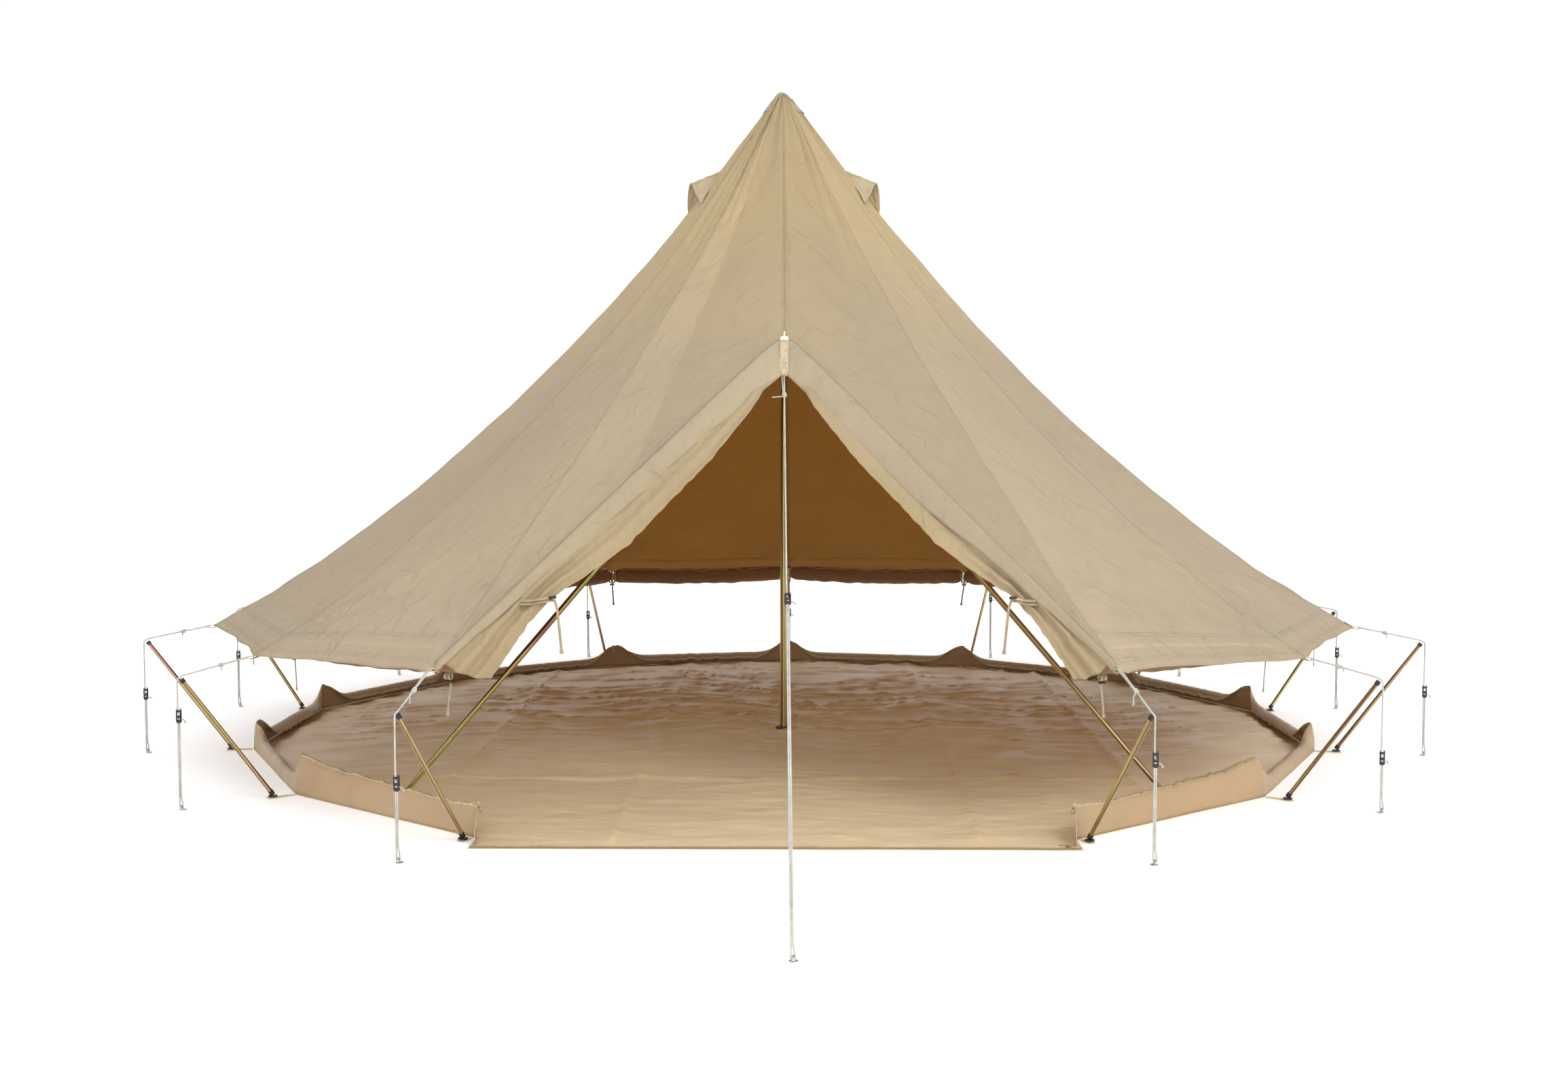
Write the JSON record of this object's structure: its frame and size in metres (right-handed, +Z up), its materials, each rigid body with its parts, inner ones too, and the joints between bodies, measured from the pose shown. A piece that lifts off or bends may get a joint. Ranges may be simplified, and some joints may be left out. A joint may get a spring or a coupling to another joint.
{
  "type": "bell tent",
  "caption": "Round canvas bell tent on a centre pole with an A-frame door, walls rolled up, guyed wall poles and a tub groundsheet.",
  "frame": {"origin": "on the ground under the middle of the centre pole", "axes": "+Z up along the centre pole, -Y out of the door, +X to the right seen from in front of the door"},
  "size_m": [5.6683, 6.6066, 3.006],
  "materials": {
    "roof_canvas": "woven cotton canvas, matt, cream",
    "wall_canvas": "woven cotton canvas, matt, rolled up",
    "groundsheet_pvc": "coated tan-brown sheet, satin gloss with fold creases",
    "guy_rope": "braided white cord",
    "black_plastic": "moulded, satin",
    "yellow_zinc_steel": "yellow-passivated zinc with pink and green streaks",
    "galvanised_steel": "galvanised, satin",
    "webbing": "woven beige webbing",
    "zip_metal": "worn",
    "white_plastic": "moulded, satin"
  },
  "bodies": {
    "tent": {"centre_pole_foot": "black_plastic", "centre_pole_section_1": "yellow_zinc_steel", "centre_pole_section_2": "yellow_zinc_steel", "centre_pole_section_3": "yellow_zinc_steel", "centre_pole_section_4": "yellow_zinc_steel", "centre_pole_plug": "black_plastic", "door_frame_head": "galvanised_steel", "door_frame_upper_legs": "yellow_zinc_steel", "door_frame_lower_legs": "yellow_zinc_steel", "door_frame_feet": "black_plastic", "door_spike_cap": "white_plastic", "wall_poles": "yellow_zinc_steel", "wall_pole_caps": "black_plastic", "wall_pole_feet": "black_plastic", "pegs": "galvanised_steel", "groundsheet_floor": "groundsheet_pvc", "groundsheet_walls": "groundsheet_pvc", "corner_tabs": "webbing", "tab_eyelets": "galvanised_steel", "door_zip": "webbing", "roof_panels": "roof_canvas", "apex_cap": "roof_canvas", "eave_flap": "roof_canvas", "door_awning": "roof_canvas", "door_flaps": "roof_canvas", "vent_hoods": "roof_canvas", "rolled_walls": "wall_canvas", "wall_ties": "webbing", "tie_toggles": "black_plastic", "eave_loops": "webbing", "guy_rope_1": "guy_rope", "guy_rope_2": "guy_rope", "guy_rope_3": "guy_rope", "guy_rope_4": "guy_rope", "guy_rope_5": "guy_rope", "guy_rope_6": "guy_rope", "guy_rope_7": "guy_rope", "guy_rope_8": "guy_rope", "guy_rope_9": "guy_rope", "guy_rope_10": "guy_rope", "guy_rope_11": "guy_rope", "guy_rope_12": "guy_rope", "guy_rope_13": "guy_rope", "guy_rope_front": "guy_rope"},
    "rope_slider_1": {"guy_slider_1": "black_plastic"},
    "rope_slider_2": {"guy_slider_2": "black_plastic"},
    "rope_slider_3": {"guy_slider_3": "black_plastic"},
    "rope_slider_4": {"guy_slider_4": "black_plastic"},
    "rope_slider_5": {"guy_slider_5": "black_plastic"},
    "rope_slider_6": {"guy_slider_6": "black_plastic"},
    "rope_slider_7": {"guy_slider_7": "black_plastic"},
    "rope_slider_8": {"guy_slider_8": "black_plastic"},
    "rope_slider_9": {"guy_slider_9": "black_plastic"},
    "rope_slider_10": {"guy_slider_10": "black_plastic"},
    "rope_slider_11": {"guy_slider_11": "black_plastic"},
    "rope_slider_12": {"guy_slider_12": "black_plastic"},
    "rope_slider_13": {"guy_slider_13": "black_plastic"},
    "rope_slider_front": {"guy_slider_front": "black_plastic"},
    "zip_runner": {"zip_slider": "zip_metal"},
    "zip_tab": {"zip_pull": "zip_metal"}
  },
  "joints": [
    {"name": "slider_1_slide", "type": "slide", "parent": "tent", "child": "rope_slider_1", "axis": [0, 0, 1], "range_m": [-0.156, 0.085]},
    {"name": "slider_2_slide", "type": "slide", "parent": "tent", "child": "rope_slider_2", "axis": [0, 0, 1], "range_m": [-0.09, 0.23]},
    {"name": "slider_3_slide", "type": "slide", "parent": "tent", "child": "rope_slider_3", "axis": [0, 0, 1], "range_m": [-0.124, 0.155]},
    {"name": "slider_4_slide", "type": "slide", "parent": "tent", "child": "rope_slider_4", "axis": [0, 0, 1], "range_m": [-0.126, 0.15]},
    {"name": "slider_5_slide", "type": "slide", "parent": "tent", "child": "rope_slider_5", "axis": [0, 0, 1], "range_m": [-0.131, 0.14]},
    {"name": "slider_6_slide", "type": "slide", "parent": "tent", "child": "rope_slider_6", "axis": [0, 0, 1], "range_m": [-0.165, 0.065]},
    {"name": "slider_7_slide", "type": "slide", "parent": "tent", "child": "rope_slider_7", "axis": [0, 0, 1], "range_m": [-0.108, 0.19]},
    {"name": "slider_8_slide", "type": "slide", "parent": "tent", "child": "rope_slider_8", "axis": [0, 0, 1], "range_m": [-0.115, 0.175]},
    {"name": "slider_9_slide", "type": "slide", "parent": "tent", "child": "rope_slider_9", "axis": [0, 0, 1], "range_m": [-0.122, 0.16]},
    {"name": "slider_10_slide", "type": "slide", "parent": "tent", "child": "rope_slider_10", "axis": [0, 0, 1], "range_m": [-0.115, 0.175]},
    {"name": "slider_11_slide", "type": "slide", "parent": "tent", "child": "rope_slider_11", "axis": [0, 0, 1], "range_m": [-0.115, 0.175]},
    {"name": "slider_12_slide", "type": "slide", "parent": "tent", "child": "rope_slider_12", "axis": [0, 0, 1], "range_m": [-0.158, 0.08]},
    {"name": "slider_13_slide", "type": "slide", "parent": "tent", "child": "rope_slider_13", "axis": [0, 0, 1], "range_m": [-0.117, 0.17]},
    {"name": "slider_front_slide", "type": "slide", "parent": "tent", "child": "rope_slider_front", "axis": [-0.0162, 0.7629, 0.6464], "range_m": [-0.6, 0.9]},
    {"name": "zip_slide", "type": "slide", "parent": "tent", "child": "zip_runner", "axis": [1, 0, 0], "range_m": [-2.02, 0]},
    {"name": "zip_pull_hinge", "type": "hinge", "parent": "zip_runner", "child": "zip_tab", "pos_m": [1.01, -2.388, 0.014], "axis": [0, 1, 0], "range_deg": [0, 150]}
  ]
}
